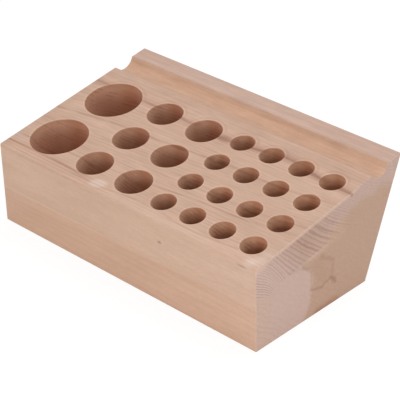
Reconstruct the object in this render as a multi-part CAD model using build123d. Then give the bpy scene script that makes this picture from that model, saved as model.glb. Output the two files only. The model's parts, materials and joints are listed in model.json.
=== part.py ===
from build123d import *
import math
import os

# A beech tool holder block with a sloping top and rows of round tool sockets.
# The upper board is drilled right through, square to its face, and has a half-round flute
# behind the holes. It is glued to a wedge-shaped lower board, which tilts it towards the
# user and closes the sockets from below.
# X runs along the block, Y from front to back and Z up. All sizes are in millimetres.
# The origin is under the middle of the block's bounding box.

# Tool sockets, in three sizes from left to right
large_bore = 48.0
large_rows = 2
medium_bore = 30.0
medium_columns = 2
medium_rows = 3
medium_pitch = 43.0
small_bore = 20.0
small_columns = 4
small_rows = 4
small_pitch = 30.0
mouth_ease = 0.4  # chamfer round each mouth

# Wood left round the sockets, measured on the sloping top
end_margin = 10.25
group_gap = 11.75
front_margin = 10.3
bore_field = 110.0  # from the front of the first row to the back of the last

# Flute for pencils and small tools, and the ridge behind it
flute_gap = 12.0
flute_width = 20.2
flute_depth = 6.5
ridge_width = 16.2

# Outline of the ends
front_height = 72.0
top_slope = 9.5  # degrees, rising to the back
front_lean = 1.4  # degrees, the front face's top leans forward
back_lean = 20.0  # degrees, the back face overhangs its foot
edge_radius = 0.6

# Glue joint between the two boards
upper_thickness = 37.3  # square to the sloping top, and so the depth of the sockets
drill_overrun = 2.0  # of the drill past the upper board, before the boards are glued


def sin_of(degrees):
    return math.sin(math.radians(degrees))


def cos_of(degrees):
    return math.cos(math.radians(degrees))


def tan_of(degrees):
    return math.tan(math.radians(degrees))


def group_width(bore, columns, pitch):
    """Return the width of a group of sockets, from its first bore's edge to its last one's."""
    return bore + (columns - 1) * pitch


# Length of the block, from the large column and the two groups of sockets beside it
medium_width = group_width(medium_bore, medium_columns, medium_pitch)
small_width = group_width(small_bore, small_columns, small_pitch)
block_length = large_bore + medium_width + small_width + 2 * group_gap + 2 * end_margin
large_start = -block_length / 2 + end_margin
medium_start = large_start + large_bore + group_gap
small_start = medium_start + medium_width + group_gap

# Sloping top, from its front edge to its back edge
flute_start = front_margin + bore_field + flute_gap
flute_end = flute_start + flute_width
slope_length = flute_end + ridge_width
front_top_y = -front_height * tan_of(front_lean)
back_top_y = front_top_y + slope_length * cos_of(top_slope)
block_height = front_height + slope_length * sin_of(top_slope)
base_depth = back_top_y - block_height * tan_of(back_lean)
origin_y = (front_top_y + back_top_y) / 2


def on_slope(along, below=0.0):
    """Return (y, z) at a distance up the slope from the top's front edge, and under the top."""
    y = front_top_y + along * cos_of(top_slope) + below * sin_of(top_slope) - origin_y
    z = front_height + along * sin_of(top_slope) - below * cos_of(top_slope)
    return y, z


def top_plane(x, along, below=0.0):
    """Return a plane parallel to the top at a place on it, or that far under it, facing up."""
    y, z = on_slope(along, below)
    normal = (0, -sin_of(top_slope), cos_of(top_slope))
    return Plane(origin=(x, y, z), x_dir=(1, 0, 0), z_dir=normal)


def end_outline():
    """Return the outline of the block's end, with the flute as an arc in the top."""
    foot = [(base_depth - origin_y, 0.0), (-origin_y, 0.0), on_slope(0.0), on_slope(flute_start)]
    back = [on_slope(flute_end), on_slope(slope_length), foot[0]]
    deepest = on_slope((flute_start + flute_end) / 2, flute_depth)
    flute = ThreePointArc(foot[-1], deepest, back[0])
    return Polyline(*foot) + flute + Polyline(*back)


def blank():
    """Return the block before it is parted and drilled, with its edges eased."""
    end_plane = Plane.YZ.offset(-block_length / 2)
    solid = extrude(end_plane * make_face(end_outline()), block_length)
    return fillet(solid.edges(), edge_radius)


def socket_cutter(bore):
    """Return the tool that drills one socket, with its mouth at the origin and its axis on Z."""
    radius = bore / 2
    rim = radius + 2 * mouth_ease
    through = upper_thickness + drill_overrun
    half = Polyline(
        (0, -through),
        (radius, -through),
        (radius, -mouth_ease),
        (rim, mouth_ease),
        (0, mouth_ease),
        close=True,
    )
    return revolve(Plane.XZ * make_face(half), axis=Axis.Z)


def socket_places(bore, columns, rows, pitch, start):
    """Return the planes of one group's mouths, in columns along X and rows up the slope."""
    places = []
    first_row = front_margin + bore / 2
    row_pitch = (bore_field - bore) / (rows - 1)
    for column in range(columns):
        x = start + bore / 2 + column * pitch
        for row in range(rows):
            places.append(top_plane(x, first_row + row * row_pitch))
    return places


def sockets():
    """Return the cutters of the large column and of the two groups beside it."""
    groups = [
        (large_bore, 1, large_rows, 0.0, large_start),
        (medium_bore, medium_columns, medium_rows, medium_pitch, medium_start),
        (small_bore, small_columns, small_rows, small_pitch, small_start),
    ]
    cutters = []
    for bore, columns, rows, pitch, start in groups:
        cutter = socket_cutter(bore)
        for place in socket_places(bore, columns, rows, pitch, start):
            cutters.append(place * cutter)
    return cutters


os.makedirs("parts", exist_ok=True)
block = blank()
joint = top_plane(0.0, 0.0, upper_thickness)
boards = {
    "upper_board": split(block, bisect_by=joint, keep=Keep.TOP) - sockets(),
    "lower_board": split(block, bisect_by=joint, keep=Keep.BOTTOM),
}
for name, board in boards.items():
    board.label = name
    export_step(board, f"parts/{name}.step")
print(f"block {block_length:.1f} x {back_top_y - front_top_y:.1f} x {block_height:.1f} mm")
print(f"base {base_depth:.1f} mm deep, slope {slope_length:.1f} mm long")
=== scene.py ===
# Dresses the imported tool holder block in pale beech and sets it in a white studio.
import json
import math

import bmesh
import bpy
from mathutils import Matrix, Vector


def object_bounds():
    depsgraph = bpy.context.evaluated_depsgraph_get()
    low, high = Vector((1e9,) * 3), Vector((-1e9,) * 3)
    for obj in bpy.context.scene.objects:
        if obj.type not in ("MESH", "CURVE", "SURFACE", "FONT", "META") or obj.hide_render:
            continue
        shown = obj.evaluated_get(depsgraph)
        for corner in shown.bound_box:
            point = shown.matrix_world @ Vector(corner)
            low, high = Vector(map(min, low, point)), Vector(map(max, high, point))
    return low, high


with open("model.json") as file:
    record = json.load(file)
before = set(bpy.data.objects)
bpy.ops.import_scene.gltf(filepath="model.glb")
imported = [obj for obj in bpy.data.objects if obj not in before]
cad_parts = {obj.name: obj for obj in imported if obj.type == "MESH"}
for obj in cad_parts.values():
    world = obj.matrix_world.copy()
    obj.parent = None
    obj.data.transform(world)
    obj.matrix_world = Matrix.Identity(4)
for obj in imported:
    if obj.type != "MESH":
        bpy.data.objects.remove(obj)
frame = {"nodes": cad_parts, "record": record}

bl_info = {
    "name": "Tool Holder Block",
    "version": (1, 0, 0),
    "blender": (4, 5, 0),
    "location": "View3D > Sidebar > Tool Block",
    "description": "Finishes a beech tool holder block and lights it",
    "category": "Object",
}

MM = 0.001

# The block as it was packed: its box, its sockets and the slope of its top
CAD_LOW, CAD_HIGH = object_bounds()
SOCKETS = [m for m in frame["record"]["mounts"] if m["kind"] == "bore"]
MOUTH_EASE = 0.4 * MM  # chamfer between a socket's wall and the top
UP = Vector(SOCKETS[0]["axis"])  # square to the top
SLOPE = math.atan2(-UP.y, UP.z)
BACK = Vector((0.0, math.cos(SLOPE), math.sin(SLOPE)))  # up the slope


def mouth(socket):
    """Return the middle of a socket's mouth, on the top."""
    half_wall = socket["dims"]["length_mm"] * MM / 2
    return Vector(socket["pos_m"]) + UP * (half_wall + MOUTH_EASE)


def front_top_edge():
    """Return the middle of the top's front edge."""
    place = mouth(SOCKETS[0])
    run = CAD_LOW.y - place.y
    return Vector((0.0, CAD_LOW.y, place.z + run * math.tan(SLOPE)))


FRONT_EDGE = front_top_edge()

# Shapes that the finishes follow, in millimetres
HALF_LENGTH = CAD_HIGH.x / MM
JOINT_DEPTH = SOCKETS[0]["dims"]["length_mm"] + MOUTH_EASE / MM  # of the glue joint, under the top
SLOPE_LENGTH = (CAD_HIGH - FRONT_EDGE) @ BACK / MM
FRONT_LEAN = math.tan(math.radians(1.4))  # the front's top leans out by 1.4 degrees
FLUTE = (132.3, 152.5)  # its edges, up the slope
FLUTE_DEPTH = 6.5
END_SKIN = (HALF_LENGTH - 0.5, HALF_LENGTH - 0.2)  # from there to there, long faces turn into ends
TONE_LINE = (33.7, 34.9)  # heights between which the front changes tone, at the block's middle
TONE_RISE = 0.0246  # of that line, to the right
RING_LEAN = 0.388  # of the rings on the ends: up the slope, for each unit of depth
RING_BAND = 27.6  # depth of the band of strong rings on the ends
LOWER_RINGS = (0.60, 0.80)  # across the lower board's own rings, in y and z
VIEW_RIGHT = (0.73, 0.685)  # to the right in the photograph, along the block and up the slope: painted light and shade on the sockets' walls follow it

# Lines of the wood on the top, through places given as x and the distance up the slope
RING_SKEW = ((-133, 52), (-74, 61), (-31, 64), (42, 70), (102, 74), (133, 78))
RING_MIDDLE = 65.0  # up the slope, where the rings' skew is full
STREAK = ((-133, 110), (-74, 109), (-31, 108), (11, 106), (42, 110), (72, 114.5), (102, 109), (133, 107))
# Each with its strength and its reach to both sides
TOP_LINES = (
    (1.15, 2.3, ((-133, 64), (-74, 73), (-31, 76), (42, 82), (72, 82), (133, 90))),
    (1.0, 1.7, ((-133, 20), (-31, 27), (11, 31), (42, 35), (102, 40), (133, 47))),
    (0.8, 1.7, ((-133, 9), (-74, 10), (-31, 6), (11, 10), (72, 7), (133, 15))),
    (0.5, 1.4, ((-133, 38), (-31, 47), (11, 51), (72, 51), (133, 57))),
    (0.5, 1.4, ((-133, 48), (-31, 54), (11, 59), (72, 66), (133, 70))),
)

# Lines by the front edge's left half: the place up the slope where their ring meets the top, reach, strength
BROWN_LINES = ((10.2, 1.8, 0.8), (6.8, 1.5, 0.3), (3.6, 1.4, 0.3))

# Bold rings on the ends: the place up the slope where they meet the top, reach, strength
BOLD_RINGS = ((42.7, 1.9, 1.0), (56.0, 1.7, 0.8), (63.3, 2.0, 0.9), (73.2, 1.7, 0.8))

# Tone and strength of the ends' rings, over the place where they meet the top, as a share of the slope
END_SHADE = ((0.0, 0.05), (0.1, 0.25), (0.2, 0.72), (0.28, 0.9), (0.4, 0.62), (0.6, 0.4), (1.0, 0.36))
END_STRENGTH = ((0.0, 1.0), (0.2, 0.8), (0.27, 0.85), (0.45, 0.85), (0.6, 0.4), (1.0, 0.3))

# Outline of the ends' brown heart: its front side as z and y, and its roof as y and the depth under the top
HEART_SIDE = ((0.0, -31.0), (23.0, -20.0), (41.0, -20.0), (50.0, -31.0), (100.0, -31.0))
HEART_ROOF = ((-25.2, 27.6), (-12.6, 27.6), (7.2, 20.0), (27.0, 14.4), (46.8, 16.8), (90.0, 18.0))

# Cracks and stains of the right end: from one place to another as y and z, reach, strength
CRACKS = (
    ((-45.0, 51.5), (-30.0, 49.0), 2.8, 0.25),
    ((-30.0, 49.0), (-20.5, 41.5), 3.0, 0.4),
    ((-20.5, 41.5), (-20.0, 25.0), 1.8, 0.25),
    ((-20.0, 24.8), (-9.4, 21.4), 2.2, 0.55),
    ((-9.4, 21.4), (3.0, 25.2), 2.1, 0.6),
    ((3.0, 25.2), (8.0, 19.5), 3.2, 0.8),
    ((-10.1, 49.5), (5.3, 39.8), 3.6, 0.4),
    ((5.3, 39.8), (4.0, 26.0), 3.4, 0.32),
    ((21.8, 89.4), (24.0, 87.5), 2.4, 1.0),
)
STAINS = (
    ((-12.0, 0.5), (10.0, 1.0), 6.5, 0.8),
    ((-14.0, 44.0), (-6.0, 30.0), 12.0, 0.2),
)

# What stains leave of red, green and blue
LATE_WOOD = (0.76, 0.69, 0.65)
LOWER_LATE_WOOD = (0.80, 0.73, 0.68)
STREAK_EDGE = (0.76, 0.64, 0.60)
STREAK_HEART = (0.62, 0.49, 0.46)
BROWN_LINE = (0.82, 0.68, 0.58)
EDGE_LINE = (0.84, 0.72, 0.66)
FRONT_FLECK = (0.52, 0.42, 0.35)
CRACK = (0.70, 0.60, 0.52)
STAIN = (0.78, 0.60, 0.48)
GREYED = (0.95, 0.95, 0.96)
HALO = (0.88, 0.78, 0.74)

# How much brighter pale wood is in red, green and blue
PALE_CORNER = (1.12, 1.15, 1.18)
PALE_FRONT = (1.08, 1.09, 1.13)
PALE_SPOT = (1.16, 1.32, 1.50)
PALE_LINE = (1.12, 1.12, 1.12)
RUBBED_END = (1.16, 1.12, 1.09)
LIGHTER_END_BAND = (1.08, 1.09, 1.09)

# Relief of both boards
BUMP_STRENGTH = 0.4
BUMP_HEIGHT = 0.12 * MM

# Studio
FLOOR_RADIUS = 8.0
FLOOR_COLOUR = (0.85, 0.85, 0.85)
FLOOR_GLOW = 1.09  # strength of the white that only the camera sees
GLOW_SHARE = 0.8  # of that white in the floor's look, where the rest shows the block's shadow
WORLD_LIGHT = 0.8  # strength of the world where it lights the block, and 1 where it is seen
WHITE = (1.0, 1.0, 1.0)
LAMP_TARGET = Vector((0.0, 0.0, 0.05))
FILL_TURN = math.radians(30.0)  # of the fill lamp, to the right of the front
FILL_RISE = math.radians(2.5)  # above the floor
SENSOR_WIDTH = 36.0


def evenly(values):
    """Return the first of some places, the pitch between them and how many there are."""
    places = sorted({round(v / MM, 2) for v in values})
    pitch = (places[-1] - places[0]) / max(len(places) - 1, 1)
    return places[0], pitch, len(places)


def socket_groups():
    """Return each size of socket as its radius and its columns and rows, in millimetres."""
    groups = []
    for radius in sorted({round(m["dims"]["r_mm"], 2) for m in SOCKETS}):
        same = [m for m in SOCKETS if abs(m["dims"]["r_mm"] - radius) < 0.5]
        columns = evenly(mouth(m).x for m in same)
        rows = evenly((mouth(m) - FRONT_EDGE) @ BACK for m in same)
        groups.append((radius, columns, rows))
    return groups


def colour(value):
    """Return a colour for a node's socket: three numbers get full alpha, and a Shade stays as it is."""
    return value if isinstance(value, Shade) else (*value, 1.0)


def arithmetic(operation):
    """Return the methods for a Math operation on a Shade, and on a number with a Shade after it."""

    def plain(self, other):
        return self.math(operation, other)

    def reflected(self, other):
        return self.node("ShaderNodeMath", {"operation": operation}, {0: other, 1: self})

    return plain, reflected


class Shade:
    """One socket of a material's nodes. Sums on it add Math nodes."""

    def __init__(self, tree, socket=None):
        self.tree = tree
        self.socket = socket

    def node(self, kind, settings, inputs, output=0):
        """Add a node, with its settings first and then its sockets, and return one output."""
        made = self.tree.nodes.new(kind)
        for name, value in settings.items():
            if name == "stops":
                ramp = made.color_ramp
                while len(ramp.elements) < len(value):
                    ramp.elements.new(1.0)
                for element, (place, level) in zip(ramp.elements, value):
                    element.position = place
                    element.color = (level, level, level, 1.0)
            elif name == "points":
                curve = made.mapping.curves[0]
                while len(curve.points) < len(value):
                    curve.points.new(1.0, 0.5)
                for point, place in zip(curve.points, value):
                    point.location = place
                made.mapping.update()
            else:
                setattr(made, name, value)
        for name, value in inputs.items():
            if isinstance(value, Shade):
                self.tree.links.new(value.socket, made.inputs[name])
            else:
                made.inputs[name].default_value = value
        return Shade(self.tree, made.outputs[output])

    def math(self, operation, *values):
        inputs = dict(enumerate((self, *values)))
        return self.node("ShaderNodeMath", {"operation": operation}, inputs)

    __add__, __radd__ = arithmetic("ADD")
    __sub__, __rsub__ = arithmetic("SUBTRACT")
    __mul__, __rmul__ = arithmetic("MULTIPLY")
    __truediv__, __rtruediv__ = arithmetic("DIVIDE")

    def __abs__(self):
        return self.math("ABSOLUTE")

    def step(self, low, high):
        """Return 0 under low, 1 over high and a smooth rise between them."""
        inputs = {"Value": self, "From Min": low, "From Max": high}
        return self.node("ShaderNodeMapRange", {"interpolation_type": "SMOOTHSTEP"}, inputs)

    def near(self, centre, reach):
        """Return 1 at a value, falling to 0 at a reach from it."""
        return 1.0 - abs(self - centre).step(0.0, reach)

    def within(self, low, high, soft):
        """Return 1 between two values, with soft ends."""
        return self.step(low - soft, low + soft) * (1.0 - self.step(high - soft, high + soft))

    def parts(self):
        """Return the three numbers of a vector."""
        return [self.node("ShaderNodeSeparateXYZ", {}, {0: self}, name) for name in "XYZ"]

    def vector_math(self, operation, other, output=0):
        inputs = {0: self, "Scale" if operation == "SCALE" else 1: other}
        return self.node("ShaderNodeVectorMath", {"operation": operation}, inputs, output)

    def ramp(self, *stops):
        return self.node("ShaderNodeValToRGB", {"stops": stops}, {0: self})

    def mix(self, first, second, blend="MIX"):
        """Return one colour where this mask is 0 and another, or their blend, where it is 1."""
        settings = {"data_type": "RGBA", "blend_type": blend}
        return self.node("ShaderNodeMix", settings, {0: self, 6: colour(first), 7: colour(second)}, 2)

    def stained(self, mask, stain):
        """Return this colour with a stain on it where a mask is 1."""
        return mask.mix(self, stain, "MULTIPLY")

    def feed(self, node, name):
        """Link this to one of a node's sockets."""
        self.tree.links.new(self.socket, node.inputs[name])


def joined(operation, shades):
    """Return some values joined by one Math operation, from the first to the last."""
    result, *others = shades
    for other in others:
        result = result.math(operation, other)
    return result


def new_material(name):
    """Return a material with nodes, its shader and a start for its shading."""
    material = bpy.data.materials.new(name)
    material.use_nodes = True
    tree = material.node_tree
    return material, tree.nodes["Principled BSDF"], Shade(tree)


class Wood:
    """Places and masks in the block's solid wood, in millimetres, for both boards' finishes."""

    def __init__(self, start, seed):
        self.start = start
        self.seed = seed
        self.board = self.measured(FRONT_EDGE, SLOPE)
        self.x, self.along, up = self.board.parts()
        self.depth = up * -1.0
        self.level = self.measured((0.0, 0.0, 0.0), 0.0)
        self.y, self.z = self.level.parts()[1:]
        self.loose = self.shaken(5.0)
        self.end = abs(self.x).step(*END_SKIN)
        self.right_end = self.x.step(*END_SKIN)
        self.long_faces = 1.0 - self.end
        inward = self.y - FRONT_EDGE.y / MM + (self.z - FRONT_EDGE.z / MM) * FRONT_LEAN
        self.front = 1.0 - inward.step(0.1, 0.5)
        over_floor = 1.0 - self.depth.step(FLUTE_DEPTH + 0.2, FLUTE_DEPTH + 0.5)
        self.in_flute = self.along.within(*FLUTE, 0.2) * over_floor
        self.rim, self.side, self.down = self.fold_sockets()
        above_joint = 1.0 - self.depth.step(JOINT_DEPTH + 0.2, JOINT_DEPTH + 0.6)
        self.wall = (1.0 - self.rim.step(0.05, 0.3)) * above_joint
        self.unbored = self.long_faces * (1.0 - self.wall)

    def measured(self, origin, turn):
        """Return each place in millimetres from an origin, with its axes turned about X."""
        place = self.start.node("ShaderNodeTexCoord", {}, {}, "Object")
        inputs = {"Vector": place, "Location": origin, "Rotation": (turn, 0.0, 0.0), "Scale": (MM, MM, MM)}
        return self.start.node("ShaderNodeMapping", {"vector_type": "TEXTURE"}, inputs)

    def shaken(self, reach):
        """Return each place moved a little in y and z, so that lines drawn on it are crooked."""
        inputs = {"Vector": self.level, "Scale": 0.22, "Detail": 3.0}
        shift = self.start.node("ShaderNodeTexNoise", {}, inputs, "Color")
        shift = shift.vector_math("SUBTRACT", (0.5, 0.5, 0.5)).vector_math("MULTIPLY", (0.0, reach, reach))
        return self.level.vector_math("ADD", shift)

    def fold(self, part, first, pitch, count):
        """Return how far a place lies from the nearest of a row of sockets, along one direction."""
        off = part - first
        if count == 1:
            return off
        nearest = (off / pitch).math("ROUND").math("MAXIMUM", 0.0).math("MINIMUM", count - 1.0)
        return off - nearest * pitch

    def fold_sockets(self):
        """Return the distance outside the nearest wall, and how far right and down in a socket, in radii."""
        gaps = []
        sides = []
        downs = []
        for radius, columns, rows in socket_groups():
            across = self.fold(self.x, *columns)
            back = self.fold(self.along, *rows)
            gap = (across * across + back * back).math("SQRT") - radius
            inside = 1.0 - gap.step(0.0, 0.3)
            gaps.append(gap)
            sides.append((across * VIEW_RIGHT[0] + back * VIEW_RIGHT[1]) / radius * inside)
            downs.append(self.depth / radius * inside)
        return joined("MINIMUM", gaps), joined("ADD", sides), joined("ADD", downs)

    def grain(self, length, width, detail=2.0, rough=0.5):
        """Return noise from 0 to 1 in marks of a length along the grain and a width across it."""
        place = self.board.vector_math("DIVIDE", (length, width, width))
        place = place.vector_math("ADD", (self.seed, self.seed, self.seed))
        inputs = {"Vector": place, "Scale": 1.0, "Detail": detail, "Roughness": rough}
        return place.node("ShaderNodeTexNoise", {}, inputs, "Fac")

    def patches(self, length, width):
        """Return a mask of soft patches of a length along the grain and a width across it."""
        return self.grain(length, width).ramp((0.36, 0.0), (0.64, 1.0))

    def sheet(self):
        """Return where each place's growth ring meets the top, as a distance up the slope."""
        flatter_front = (1.0 - self.along.step(5.0, 32.0)) * 0.7
        lean = RING_LEAN + self.along * 0.0065 + self.depth * 0.0016 + flatter_front
        return self.along - self.depth * lean

    def curve(self, value, points):
        """Return a smooth curve through some places, over a value from 0 to 1."""
        return self.start.node("ShaderNodeFloatCurve", {"points": points}, {"Value": value})

    def line(self, value, span, reach, places):
        """Return the height of a smooth line at a value, through places whose numbers lie in two ranges."""
        left, right = span
        foot, head = reach
        points = [((across - left) / (right - left), (up - foot) / (head - foot)) for across, up in places]
        return self.curve((value - left) / (right - left), points) * (head - foot) + foot

    def path(self, places):
        """Return how far up the slope a line through some places is, at this place's x."""
        span = (-HALF_LENGTH, HALF_LENGTH)
        return self.line(self.x, span, reach=(0.0, SLOPE_LENGTH), places=places)

    def stroke(self, first, last, reach, strength):
        """Return a mark along a short line on the right end, between two places as y and z."""
        run = Vector((0.0, last[0] - first[0], last[1] - first[1]))
        off = self.loose.vector_math("SUBTRACT", (0.0, *first)).vector_math("MULTIPLY", (0.0, 1.0, 1.0))
        way = off.vector_math("DOT_PRODUCT", run.normalized(), "Value")
        way = way.math("MAXIMUM", 0.0).math("MINIMUM", run.length)
        inputs = {0: run.normalized(), "Scale": way}
        nearest = self.start.node("ShaderNodeVectorMath", {"operation": "SCALE"}, inputs)
        return off.vector_math("DISTANCE", nearest, "Value").near(0.0, reach) * strength


def ring_lines(sheet, spacing, uneven):
    """Return thin dark late wood and the pale wood after it, uneven in spacing and strength, from 0 to 1."""
    inputs = {"W": sheet / (spacing * 3.0), "Scale": 1.0, "Detail": 1.0}
    drift = sheet.node("ShaderNodeTexNoise", {"noise_dimensions": "1D"}, inputs, "Fac")
    turn = sheet / spacing + drift * (uneven * 2.0)
    settings = {"noise_dimensions": "1D"}
    strength = turn.node("ShaderNodeTexWhiteNoise", settings, {"W": turn.math("FLOOR")}, "Value")
    strength = strength * uneven + (1.0 - uneven)
    part = turn.math("FRACT")
    late = part.step(0.4, 0.85) * (1.0 - part.step(0.9, 1.0)) * strength
    early = (1.0 - part.step(0.0, 0.4)) * strength
    return late, early


def top_tone(wood, look):
    """Return the colour of the top, with its flute and the ridge behind it."""
    patches = wood.patches(75.0, 14.0)
    base = patches.mix(look.top_pale, look.top_warm)
    corner = (wood.x.step(-60.0, 90.0) * 0.65 + 0.35) * (1.0 - wood.along.step(6.0, 16.0))
    base = base.stained(corner * 0.9, PALE_CORNER)
    # The flute's back half takes warmer colours: partly the cut wood's tone, partly painted warm bounce
    # light in the hollow.
    cut = wood.grain(26.0, 6.0).ramp((0.3, 0.0), (0.7, 1.0))
    flute = cut.mix(look.flute, look.flute_warm)
    base = (wood.in_flute * wood.along.step(133.0, 149.0)).mix(base, flute)
    ridge = patches.mix(look.ridge, look.ridge_warm)
    return wood.along.step(FLUTE[1] - 0.4, FLUTE[1] + 0.8).mix(base, ridge)


def front_tone(wood, look):
    """Return the front's colour: paler above a line that rises a little to the right."""
    patches = wood.patches(80.0, 12.0)
    upper = patches.mix(look.front_pale, look.front_warm)
    lower = patches.mix(look.lower_pale, look.lower_warm)
    height = wood.z - wood.x * TONE_RISE + (wood.grain(40.0, 8.0) - 0.5) * 1.6
    right = wood.x.step(-20.0, 150.0)
    return height.step(*TONE_LINE).mix(lower, upper).stained(right * 0.5, PALE_FRONT)


def brown_heart(wood, ragged):
    """Return a mask of the ends' brown heart, low and behind their pink patch."""
    side = wood.line(wood.z, span=(0.0, 100.0), reach=(-35.0, -15.0), places=HEART_SIDE)
    roof = wood.line(wood.y, span=(-90.0, 90.0), reach=(0.0, 40.0), places=HEART_ROOF)
    uneven = ragged + (wood.grain(60.0, 14.0) - 0.5) * 14.0
    return (wood.y - side + ragged).step(-3.0, 3.0) * (wood.depth - roof + uneven).step(-6.0, 6.0)


def end_tone(wood, look, sheet):
    """Return the ends' colour before their rings, and how strongly the rings show there."""
    ragged = (wood.grain(60.0, 5.0) - 0.5) * 5.0
    base = wood.curve(sheet / SLOPE_LENGTH, END_SHADE).mix(look.end_pale, look.end_warm)
    strip = 1.0 - (wood.y + ragged).step(-68.0, -62.0)
    bound = RING_BAND + strip * (wood.y + 76.0) * 0.5 - ragged * 0.12
    below = (wood.depth - bound).step(-0.7, 0.7)
    base = below.mix(base, strip.mix(look.patch, look.patch_tan))
    brown = brown_heart(wood, ragged)
    base = brown.mix(base, look.end_brown)
    bright = wood.depth.near(RING_BAND, 1.0) * wood.y.within(-27.0, -11.0, 1.5)
    base = base.stained(bright * 0.5, PALE_LINE)
    rubbed = (1.0 - wood.depth.step(1.0, 8.0)) * (1.0 - wood.y.step(-77.0, -66.0))
    base = base.stained(rubbed, RUBBED_END)
    # A lighter wash over part of the ends' ring band.
    lighter_band = wood.depth.within(15.0, 31.0, 5.0) * wood.along.within(56.0, 98.0, 7.0)
    base = base.stained(lighter_band, LIGHTER_END_BAND)
    # Painted highlight: a pale band along the rounded edge between the top and the ends, where the rings
    # fade.
    edge = (1.0 - wood.depth.step(1.5, 3.4)) * (1.0 - wood.along.step(108.0, 122.0))
    base = edge.mix(base, look.edge)
    strong = wood.curve(sheet / SLOPE_LENGTH, END_STRENGTH)
    rings = strong * (1.0 - below * 0.85) * (1.0 - brown * 0.6) * (1.0 - rubbed * 0.7)
    return base, rings * (1.0 - edge * 0.8)


def end_marks(wood, base):
    """Return a colour with the stains and the heart cracks of the right end."""
    for strokes, stain in ((STAINS, STAIN), (CRACKS, CRACK)):
        marks = joined("MAXIMUM", [wood.stroke(*stroke) for stroke in strokes])
        base = base.stained(marks * wood.right_end, stain)
    return base


def wall_tone_with_painted_light(wood, base):
    """Return a colour with the sockets' walls' tones: painted light and shade by the side that they face and
    by their depth, and darker just under the mouths.
    """
    mouths = 1.0 - wood.depth.step(0.6, 6.0)
    # Painted light: the walls' left half is paler and greener.
    painted_light_left_half = 1.0 - (wood.side + wood.grain(40.0, 9.0)).step(0.4, 1.55)
    # Painted light: paler at the far left, most in the sockets right of the leftmost group.
    painted_light_far_left = (1.0 - wood.side.step(-0.95, -0.5)) * (wood.x.step(-90.0, -70.0) * 0.75 + 0.25)
    # Painted light: paler walls a little under the mouths in the right-hand groups.
    painted_light_right_groups = wood.x.step(-10.0, 110.0) * wood.depth.within(1.5, 11.0, 1.5)
    # After the first, which darkens the walls just under the mouths, the washes are painted light and
    # painted shade, by the side that the walls face and by their depth.
    washes = (
        (mouths, (0.90, 0.88, 0.86)),
        (painted_light_left_half, (1.04, 1.32, 1.38)),
        (painted_light_far_left, (1.14, 1.27, 1.33)),
        (wood.side.near(0.42, 0.5), (0.91, 0.86, 0.78)),  # redder right of the middle: painted shade
        (wood.side.step(0.62, 0.95), (1.05, 1.18, 1.22)),  # paler at the far right: painted light
        (wood.down.step(0.9, 1.5), (0.84, 0.80, 0.78)),  # darker towards the floor: painted shade of the deep socket
        (painted_light_right_groups, (1.22, 1.28, 1.26)),
    )
    for mask, wash in washes:
        base = base.stained(wood.wall * mask, wash)
    return base


def streak(wood, flat, base):
    """Return a colour with the dark streak along the top, behind the small sockets."""
    away = flat - wood.path(STREAK) + (wood.grain(12.0, 3.0) - 0.5) * 2.4
    shallow = (1.0 - wood.depth.step(0.8, 9.0)) * (1.0 - wood.wall * 0.6) * wood.long_faces
    blotch = wood.grain(16.0, 6.0).ramp((0.3, 0.75), (0.62, 1.0))
    swell = wood.x.near(11.5, 9.0) * 3.0 + wood.x.step(30.0, 60.0) * 0.6
    strength = shallow * blotch * (wood.x.step(-150.0, 60.0) * 0.4 + 0.55)
    base = base.stained(away.near(0.0, swell + 7.5) * strength * 0.8, STREAK_EDGE)
    return base.stained(away.near(0.0, swell + 2.4) * strength, STREAK_HEART)


def upper_rings(wood, flat):
    """Return the upper board's late and early wood, whose rings lie closer together near the front."""
    skew = (wood.path(RING_SKEW) - RING_MIDDLE) * flat.near(RING_MIDDLE, 62.0)
    wander = (wood.grain(160.0, 40.0) - 0.5) * 6.0
    wander = wander + (wood.grain(45.0, 7.0) - 0.5) * (wood.long_faces * 2.0 + 0.7)
    crowding = flat.math("MINIMUM", 45.0) * 0.3
    return ring_lines(flat - skew + crowding + wander, spacing=3.7, uneven=0.55)


def fine_strength(wood, end_rings):
    """Return how strongly the fine rings show on each of the upper board's faces."""
    plain = wood.long_faces * (1.0 - wood.front * 0.75) * (0.45 - wood.wall * 0.2)
    plain = plain * (1.0 - wood.along.step(130.0, 136.0) * 0.55)
    broad = wood.grain(50.0, 9.0)
    fine = wood.end * end_rings + plain * broad.ramp((0.36, 0.3), (0.64, 1.3))
    return fine + wood.wall * broad.ramp((0.46, 0.0), (0.6, 0.65))


def top_lines(wood, flat):
    """Return the bolder lines along the top and the front, from 0 to 1."""
    bent = flat + (wood.grain(30.0, 5.0) - 0.5) * 2.0
    lines = [(bent - wood.path(places)).near(0.0, reach) * strength for strength, reach, places in TOP_LINES]
    broken = wood.grain(26.0, 6.0).ramp((0.35, 0.3), (0.58, 1.0)) * (1.0 - wood.front * 0.7)
    broken = broken * (1.0 - wood.x.step(108.0, 132.0) * 0.65)
    return joined("MAXIMUM", lines) * broken * wood.long_faces


def bold_rings(wood, flat):
    """Return the bold rings of the ends, from 0 to 1."""
    bent = flat + (wood.grain(60.0, 6.0) - 0.5) * 2.0
    rings = [bent.near(place, reach) * strength for place, reach, strength in BOLD_RINGS]
    return joined("MAXIMUM", rings) * wood.end


def front_edge_marks(wood, flat, base):
    """Return a colour with the brown lines left of the front edge's middle and the front's flecks."""
    left = (1.0 - wood.x.step(-54.0, -34.0)) * wood.unbored
    bent = flat + wood.grain(40.0, 6.0) * 1.5
    lines = [bent.near(place, reach) * strength for place, reach, strength in BROWN_LINES]
    base = base.stained(joined("ADD", lines) * left, BROWN_LINE)
    edge_line = wood.z.near(70.6, 2.2) * wood.front * left
    base = base.stained(edge_line * 0.45, EDGE_LINE)
    fleck = wood.x.near(41.5, 3.0) * wood.z.near(54.3, 1.7)
    dash = wood.x.near(124.0, 7.5) * wood.z.near(69.6, 1.6) * 0.6
    return base.stained((fleck + dash) * wood.front, FRONT_FLECK)


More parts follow.
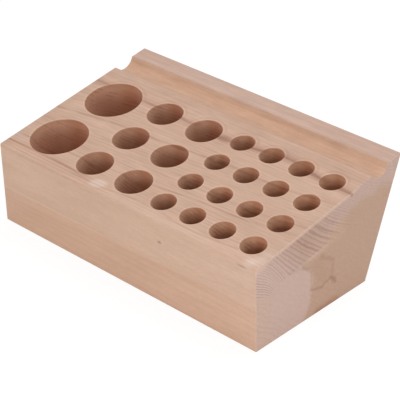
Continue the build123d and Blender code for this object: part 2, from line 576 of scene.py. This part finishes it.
def rubbed_spots(wood, base):
    """Return a colour with the pale spots of the front edge, the greyer margins and the back row's halos."""
    spots = ((wood.x - wood.along * 0.4).near(-34.5, 12.0) * wood.along.near(8.0, 9.0)).step(0.1, 0.75)
    spots = spots + wood.x.near(128.0, 8.0) * wood.along.near(4.0, 7.0) * 0.9
    spots = spots + wood.x.near(133.0, 9.0) * wood.along.near(15.0, 16.0) * 0.6
    spots = spots + (1.0 - wood.x.step(-132.0, -112.0)) * wood.along.near(17.0, 6.0) * 0.45
    base = base.stained(spots * wood.unbored, PALE_SPOT)
    margins = wood.along.step(118.0, 122.0) * 0.8 + (1.0 - wood.x.step(-137.0, -122.0))
    before_flute = wood.unbored * (1.0 - wood.front) * (1.0 - wood.along.step(129.0, 132.0))
    base = base.stained(margins * before_flute, GREYED)
    behind_row = wood.along.step(108.0, 118.0) * (1.0 - wood.along.step(124.0, 126.0))
    halo = wood.rim.within(1.6, 3.6, 0.8) * behind_row * wood.unbored
    return base.stained(halo * 0.5, HALO)


def fine_marks(wood):
    """Return the fibres, with the front's specks among them, the pores and the ray flecks of both boards."""
    fibres = (wood.grain(12.0, 0.5, detail=3.0, rough=0.6) - 0.5) + (wood.grain(26.0, 1.9) - 0.5)
    specks = wood.grain(7.0, 2.2, detail=3.0, rough=0.6) - 0.5
    fibres = fibres * (1.0 - wood.front * 0.5) + specks * wood.front * 0.7
    pores = wood.grain(2.6, 0.16, detail=1.0) - 0.5
    flecks = wood.grain(2.4, 0.34, detail=1.0).ramp((0.62, 0.0), (0.72, 1.0)) * wood.long_faces
    return fibres, pores, flecks


def edge_light(wood):
    """Return how much the eased mouths and the flute's edges catch or lose light."""
    mouths = wood.rim.within(0.15, 1.5, 0.35) * 0.075
    rear = wood.along.within(FLUTE[1] - 2.9, FLUTE[1] + 0.7, 0.7) * wood.long_faces * 0.12
    ridge = wood.along.within(FLUTE[1] + 2.4, FLUTE[1] + 4.9, 0.8) * 0.06
    return mouths - rear + ridge


def feed_board(shader, base, rough, relief):
    """Link a board's colour, roughness and relief to its shader."""
    base.feed(shader, "Base Color")
    rough.feed(shader, "Roughness")
    inputs = {"Strength": BUMP_STRENGTH, "Distance": BUMP_HEIGHT, "Height": relief}
    relief.node("ShaderNodeBump", {}, inputs).feed(shader, "Normal")


def finish_upper(look):
    """Return the upper board's beech: rings almost square to the top, open on the ends."""
    material, shader, start = new_material("upper_beech_oiled")
    wood = Wood(start, seed=0.0)
    flat = wood.sheet()
    end_base, end_rings = end_tone(wood, look, flat)
    base = wood.front.mix(top_tone(wood, look), front_tone(wood, look))
    base = wood.end.mix(base, end_base)
    # The sockets' walls take the wall colour, partly painted shade, then painted light and shade by side and
    # depth.
    base = wall_tone_with_painted_light(wood, wood.wall.mix(base, look.wall))
    base = streak(wood, flat, base)
    late, early = upper_rings(wood, flat)
    fine = fine_strength(wood, end_rings)
    dark = (late * fine).math("MAXIMUM", top_lines(wood, flat))
    dark = dark.math("MAXIMUM", bold_rings(wood, flat) * end_rings * 1.3)
    base = base.stained(dark, LATE_WOOD)
    base = front_edge_marks(wood, flat, base)
    base = end_marks(wood, base)
    base = rubbed_spots(wood, base)
    fibres, pores, flecks = fine_marks(wood)
    mottle = (wood.grain(20.0, 8.0) - 0.5) * wood.unbored * (1.0 - wood.front)
    mottle = mottle + (wood.grain(8.0, 3.0, detail=3.0) - 0.5) * wood.in_flute * 0.7
    light = fibres * 0.26 + pores * 0.16 + mottle * 0.22 + 1.0 - flecks * (wood.front * 0.06 + 0.05)
    light = light + early * fine * 0.045 + edge_light(wood)
    rough = fibres * 0.25 + (wood.end * 0.1 + wood.wall * 0.12 + 0.56)
    drill_marks = (wood.depth * 13.0).math("SINE") * wood.wall * 0.5
    relief = fibres + pores * 0.6 - dark * 0.2 + drill_marks
    feed_board(shader, base.vector_math("SCALE", light), rough, relief)
    return material


def finish_lower(look):
    """Return the lower board's beech, warmer than the upper board's."""
    material, shader, start = new_material("lower_beech_oiled")
    wood = Wood(start, seed=40.0)
    end_base, end_rings = end_tone(wood, look, wood.sheet())
    base = wood.end.mix(front_tone(wood, look), end_base)
    wander = (wood.grain(130.0, 22.0) - 0.5) * 8.0 + (wood.grain(40.0, 6.0) - 0.5) * 1.2
    across = wood.y * LOWER_RINGS[0] + wood.z * LOWER_RINGS[1]
    late, early = ring_lines(across + wander, spacing=4.2, uneven=0.7)
    fine = wood.end * (end_rings - 0.16) + 0.2
    dark = late * fine
    # The sockets' walls take the wall colour, partly painted shade of the deep holes.
    base = wood.wall.mix(base.stained(dark, LOWER_LATE_WOOD), look.wall)
    base = end_marks(wood, base)
    fibres, pores, flecks = fine_marks(wood)
    light = fibres * 0.24 + pores * 0.16 + 1.0 - flecks * 0.08 + early * fine * 0.04
    rough = fibres * 0.25 + (wood.end * 0.1 + 0.56)
    relief = fibres + pores * 0.6 - dark * 0.2
    feed_board(shader, base.vector_math("SCALE", light), rough, relief)
    return material


def dress(node, material):
    """Give a CAD node its finish."""
    board = frame["nodes"][node]
    for holder in board.material_slots:
        holder.material = material


def colour_property(name, description, default):
    return bpy.props.FloatVectorProperty(
        name=name, description=description, default=default, subtype="COLOR", min=0.0, max=1.0
    )


def angle_property(name, description, degrees):
    return bpy.props.FloatProperty(
        name=name, description=description, default=math.radians(degrees), subtype="ANGLE"
    )


class BlockLook(bpy.types.PropertyGroup):
    """Colours of the block's wood."""

    top_pale: colour_property("Top pale", "Pale wood of the top", (0.60, 0.392, 0.285))
    top_warm: colour_property("Top warm", "Warm wood of the top", (0.555, 0.350, 0.248))
    front_pale: colour_property("Front pale", "Pale wood of the upper front", (0.605, 0.402, 0.290))
    front_warm: colour_property("Front warm", "Warm wood of the upper front", (0.57, 0.372, 0.265))
    lower_pale: colour_property("Lower pale", "Pale wood of the lower front", (0.60, 0.380, 0.265))
    lower_warm: colour_property("Lower warm", "Warm wood of the lower front", (0.565, 0.348, 0.240))
    # The flute's colours are partly the cut wood's tone and partly painted warm bounce light in the hollow.
    flute: colour_property("Flute", "Wood of the flute", (0.645, 0.400, 0.272))
    flute_warm: colour_property("Flute warm", "Warm wood of the flute", (0.612, 0.362, 0.234))
    ridge: colour_property("Ridge", "Wood of the ridge behind the flute", (0.552, 0.370, 0.295))
    ridge_warm: colour_property("Ridge warm", "Warm wood of the ridge", (0.538, 0.350, 0.270))
    end_pale: colour_property("End pale", "Pale end grain", (0.61, 0.430, 0.365))
    end_warm: colour_property("End warm", "Dark end grain", (0.49, 0.315, 0.240))
    end_brown: colour_property("End brown", "Brown heart of the ends", (0.52, 0.335, 0.238))
    # The Edge colour is painted highlight on the rounded edge between the top and the ends.
    edge: colour_property("Edge", "Sanded edge between the top and the ends", (0.645, 0.45, 0.356))
    patch: colour_property("Patch", "Pinkish patch of the ends", (0.60, 0.418, 0.352))
    patch_tan: colour_property("Tan strip", "Strip of the ends next to the front", (0.60, 0.412, 0.328))
    # The socket wall colour is partly the drilled wood's own and partly painted shade: darker and redder, as
    # the deep holes' shaded walls look.
    wall: colour_property("Socket wall", "Drilled walls of the sockets", (0.545, 0.240, 0.150))


class StudioLook(bpy.types.PropertyGroup):
    """Camera of the studio."""

    azimuth: angle_property("Azimuth", "Camera's turn to the right of the front", 43.21)
    elevation: angle_property("Elevation", "Camera's angle above the floor", 30.549)
    roll: angle_property("Roll", "Camera's turn about its own line of sight", 0.148)
    distance: bpy.props.FloatProperty(
        name="Distance",
        description="From the camera to the point that it aims at",
        default=1.23794,
        unit="LENGTH",
    )
    lens: bpy.props.FloatProperty(
        name="Lens", description="Focal length of the camera", default=142.1, unit="CAMERA"
    )
    aim: bpy.props.FloatVectorProperty(
        name="Aim",
        description="Point in the block that the camera aims at",
        default=(0.01611, -0.01133, 0.0498),
        subtype="TRANSLATION",
    )


class HOLDER_OT_upper_board(bpy.types.Operator):
    """Finish the drilled upper board"""

    bl_idname = "holder.upper_board"
    bl_label = "Upper Board"

    def execute(self, context):
        dress("upper_board", finish_upper(context.scene.block_look))
        return {"FINISHED"}


class HOLDER_OT_lower_board(bpy.types.Operator):
    """Finish the wedge-shaped lower board"""

    bl_idname = "holder.lower_board"
    bl_label = "Lower Board"

    def execute(self, context):
        dress("lower_board", finish_lower(context.scene.block_look))
        return {"FINISHED"}


def direction(azimuth, elevation):
    """Return the way from the block to the right of its front and up, by two angles."""
    flat = math.cos(elevation)
    return Vector((math.sin(azimuth) * flat, -math.cos(azimuth) * flat, math.sin(elevation)))


def add_camera(studio):
    """Place the camera at the photograph's view of the block."""
    data = bpy.data.cameras.new("camera")
    data.lens = studio.lens
    data.sensor_width = SENSOR_WIDTH
    data.clip_start = 0.05
    data.clip_end = 50.0
    towards = direction(studio.azimuth, studio.elevation)
    turn = (-towards).to_track_quat("-Z", "Y").to_matrix() @ Matrix.Rotation(-studio.roll, 3, "Z")
    camera = bpy.data.objects.new("camera", data)
    camera.matrix_world = Matrix.Translation(Vector(studio.aim) + towards * studio.distance) @ turn.to_4x4()
    bpy.context.scene.collection.objects.link(camera)
    bpy.context.scene.camera = camera


def add_lamp(name, place, size, power):
    """Place a square soft lamp that points at the block."""
    data = bpy.data.lights.new(name, "AREA")
    data.size = size
    data.energy = power
    lamp = bpy.data.objects.new(name, data)
    lamp.location = place
    lamp.rotation_euler = (LAMP_TARGET - lamp.location).to_track_quat("-Z", "Y").to_euler()
    bpy.context.scene.collection.objects.link(lamp)


def add_floor():
    """Make the round floor, which the camera sees white but for the block's shadow."""
    mesh = bpy.data.meshes.new("floor")
    shape = bmesh.new()
    bmesh.ops.create_circle(shape, cap_ends=True, segments=64, radius=FLOOR_RADIUS)
    shape.to_mesh(mesh)
    shape.free()
    floor = bpy.data.objects.new("floor", mesh)
    bpy.context.scene.collection.objects.link(floor)
    material, shader, start = new_material("floor_white")
    shader.inputs["Base Color"].default_value = colour(FLOOR_COLOUR)
    shader.inputs["Roughness"].default_value = 0.9
    glow = start.node("ShaderNodeEmission", {}, {"Color": colour(WHITE), "Strength": FLOOR_GLOW})
    share = start.node("ShaderNodeLightPath", {}, {}, "Is Camera Ray") * GLOW_SHARE
    inputs = {0: share, 1: Shade(start.tree, shader.outputs[0]), 2: glow}
    both = start.node("ShaderNodeMixShader", {}, inputs)
    both.feed(start.tree.nodes["Material Output"], "Surface")
    mesh.materials.append(material)


def add_world():
    """Make the white world, brighter to the rays that show it than as a light."""
    world = bpy.data.worlds.new("studio")
    world.use_nodes = True
    bpy.context.scene.world = world
    air = Shade(world.node_tree)
    rays = ("Is Camera Ray", "Is Glossy Ray", "Is Transmission Ray")
    seen = joined("MAXIMUM", [air.node("ShaderNodeLightPath", {}, {}, ray) for ray in rays])
    background = world.node_tree.nodes["Background"]
    background.inputs["Color"].default_value = colour(WHITE)
    (seen * (1.0 - WORLD_LIGHT) + WORLD_LIGHT).feed(background, "Strength")


class HOLDER_OT_stage(bpy.types.Operator):
    """Make the white floor, the light and the camera"""

    bl_idname = "holder.stage"
    bl_label = "Stage"

    def execute(self, context):
        add_floor()
        add_world()
        add_lamp("key", place=Vector((0.1, 0.35, 1.1)), size=0.5, power=2.2)
        add_lamp("fill", place=direction(FILL_TURN, FILL_RISE) * 1.4, size=0.8, power=8.0)
        add_camera(context.scene.studio_look)
        context.scene.view_settings.view_transform = "Standard"
        return {"FINISHED"}


class HOLDER_PT_panel(bpy.types.Panel):
    """The block's pieces and colours"""

    bl_idname = "HOLDER_PT_panel"
    bl_label = "Tool Holder Block"
    bl_space_type = "VIEW_3D"
    bl_region_type = "UI"
    bl_category = "Tool Block"

    def draw(self, context):
        for look in (context.scene.block_look, context.scene.studio_look):
            for name in look.__annotations__:
                self.layout.prop(look, name)
        for piece in PIECES:
            self.layout.operator(piece.bl_idname)


PIECES = (HOLDER_OT_upper_board, HOLDER_OT_lower_board, HOLDER_OT_stage)
CLASSES = (BlockLook, StudioLook, *PIECES, HOLDER_PT_panel)


def register():
    for one in CLASSES:
        bpy.utils.register_class(one)
    bpy.types.Scene.block_look = bpy.props.PointerProperty(type=BlockLook)
    bpy.types.Scene.studio_look = bpy.props.PointerProperty(type=StudioLook)


def unregister():
    del bpy.types.Scene.studio_look
    del bpy.types.Scene.block_look
    for one in reversed(CLASSES):
        bpy.utils.unregister_class(one)


def main():
    register()
    bpy.ops.holder.upper_board()
    bpy.ops.holder.lower_board()
    bpy.ops.holder.stage()


if __name__ == "__main__":
    main()
